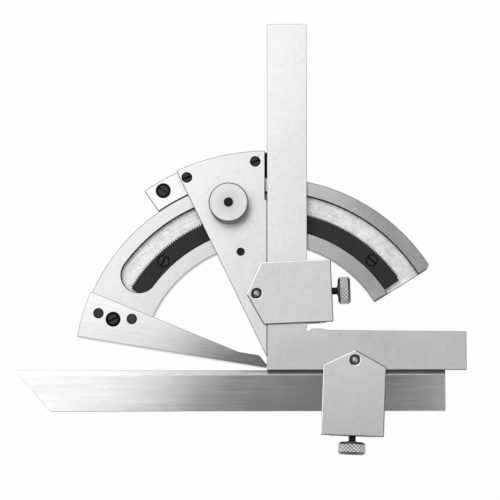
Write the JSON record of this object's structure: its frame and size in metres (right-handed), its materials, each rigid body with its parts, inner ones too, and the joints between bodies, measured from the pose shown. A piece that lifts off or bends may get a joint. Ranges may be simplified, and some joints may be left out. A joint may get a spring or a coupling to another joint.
{
  "type": "bevel protractor",
  "caption": "Vernier bevel protractor: toothed dial arc with base blade, swinging sector with knob and brake, square and ruler held by two thumbscrew clamps.",
  "frame": {"origin": "centre of the measured angle, on the back face of the dial arc", "axes": "+X along the ruler to the right, +Y up the standing arm of the square, +Z out of the back, which carries the knob"},
  "size_m": [0.1659, 0.1598, 0.0267],
  "materials": {
    "dial_steel": "satin chrome-plated ground steel",
    "plate_steel": "fine ground steel",
    "blade_steel": "ground measuring blade",
    "clamp_steel": "matt plated sheet steel",
    "black_steel": "blackened steel",
    "knob_steel": "turned plated steel",
    "thumb_steel": "knurled plated steel",
    "dowel_steel": "hardened pin"
  },
  "bodies": {
    "base": {"main_scale": "dial_steel", "base_blade": "plate_steel", "base_blade_screw": "black_steel", "base_blade_dowels": "dowel_steel", "rack": "black_steel", "rack_screws": "black_steel"},
    "sector": {"sector_plate": "plate_steel", "sector_screws": "black_steel", "vernier_carrier": "dial_steel", "vernier_plate": "dial_steel", "vernier_screws": "black_steel", "knob_washer": "clamp_steel", "brake_stud": "dowel_steel", "sector_clamp_stud": "thumb_steel", "sector_clamp_nut": "clamp_steel"},
    "pinion": {"pinion_shaft": "knob_steel", "knob": "knob_steel"},
    "brake_shoe": {"brake_shoe": "clamp_steel", "brake_washer": "clamp_steel"},
    "brake_nut": {"brake_nut": "thumb_steel"},
    "square": {"square": "blade_steel", "ruler_clamp_stud": "thumb_steel", "ruler_clamp_nut": "clamp_steel"},
    "ruler": {"ruler": "blade_steel"},
    "sector_clamp": {"sector_clamp_frame": "clamp_steel"},
    "sector_clamp_pad": {"sector_clamp_pad": "clamp_steel"},
    "sector_clamp_screw": {"sector_clamp_screw": "thumb_steel"},
    "ruler_clamp": {"ruler_clamp_frame": "clamp_steel"},
    "ruler_clamp_pad": {"ruler_clamp_pad": "clamp_steel"},
    "ruler_clamp_screw": {"ruler_clamp_screw": "thumb_steel"}
  },
  "joints": [
    {"name": "sector_swing", "type": "hinge", "parent": "base", "child": "sector", "pos_m": [0, 0, 0], "axis": [0, 0, 1], "range_deg": [-9.5, 40.5]},
    {"name": "pinion_turn", "type": "hinge", "parent": "sector", "child": "pinion", "pos_m": [-0.0139, 0.06022, 0], "axis": [0, 0, 1], "range_deg": [-187.2, 794.8]},
    {"name": "brake_release", "type": "slide", "parent": "sector", "child": "brake_shoe", "axis": [0, 0, -1], "range_m": [0, 0.0004]},
    {"name": "brake_nut_turn", "type": "hinge", "parent": "brake_shoe", "child": "brake_nut", "pos_m": [-0.00973, 0.04281, 0], "axis": [0, 0, -1], "range_deg": [-1, 289]},
    {"name": "square_slide", "type": "slide", "parent": "sector", "child": "square", "axis": [0, 1, 0], "range_m": [-0.06, 0.0007]},
    {"name": "ruler_slide", "type": "slide", "parent": "square", "child": "ruler", "axis": [1, 0, 0], "range_m": [-0.015, 0.06]},
    {"name": "sector_clamp_swing", "type": "hinge", "parent": "sector", "child": "sector_clamp", "pos_m": [-0.0038, 0.0272, 0], "axis": [0, 0, 1], "range_deg": [-3.5, 0.2]},
    {"name": "sector_clamp_release", "type": "slide", "parent": "sector_clamp", "child": "sector_clamp_pad", "axis": [0.9992, 0.0401, 0], "range_m": [0, 0.0012]},
    {"name": "sector_clamp_screw_turn", "type": "hinge", "parent": "sector_clamp_pad", "child": "sector_clamp_screw", "pos_m": [-0.0038, 0.0272, 0.002], "axis": [0.9992, 0.0401, 0], "range_deg": [-1, 865]},
    {"name": "ruler_clamp_swing", "type": "hinge", "parent": "square", "child": "ruler_clamp", "pos_m": [0.0322, 0.0027, 0], "axis": [0, 0, 1], "range_deg": [-0.2, 4.6]},
    {"name": "ruler_clamp_release", "type": "slide", "parent": "ruler_clamp", "child": "ruler_clamp_pad", "axis": [-0.0401, -0.9992, 0], "range_m": [0, 0.0012]},
    {"name": "ruler_clamp_screw_turn", "type": "hinge", "parent": "ruler_clamp_pad", "child": "ruler_clamp_screw", "pos_m": [0.0322, 0.0027, 0.002], "axis": [-0.0401, -0.9992, 0], "range_deg": [-1, 865]}
  ],
  "couplings": [
    {"joint": "pinion_turn", "follows": "sector_swing", "ratio": 19.6},
    {"joint": "brake_nut_turn", "follows": "brake_release", "rad_per_m": 12566},
    {"joint": "sector_clamp_screw_turn", "follows": "sector_clamp_release", "rad_per_m": 12566},
    {"joint": "ruler_clamp_screw_turn", "follows": "ruler_clamp_release", "rad_per_m": 12566}
  ]
}
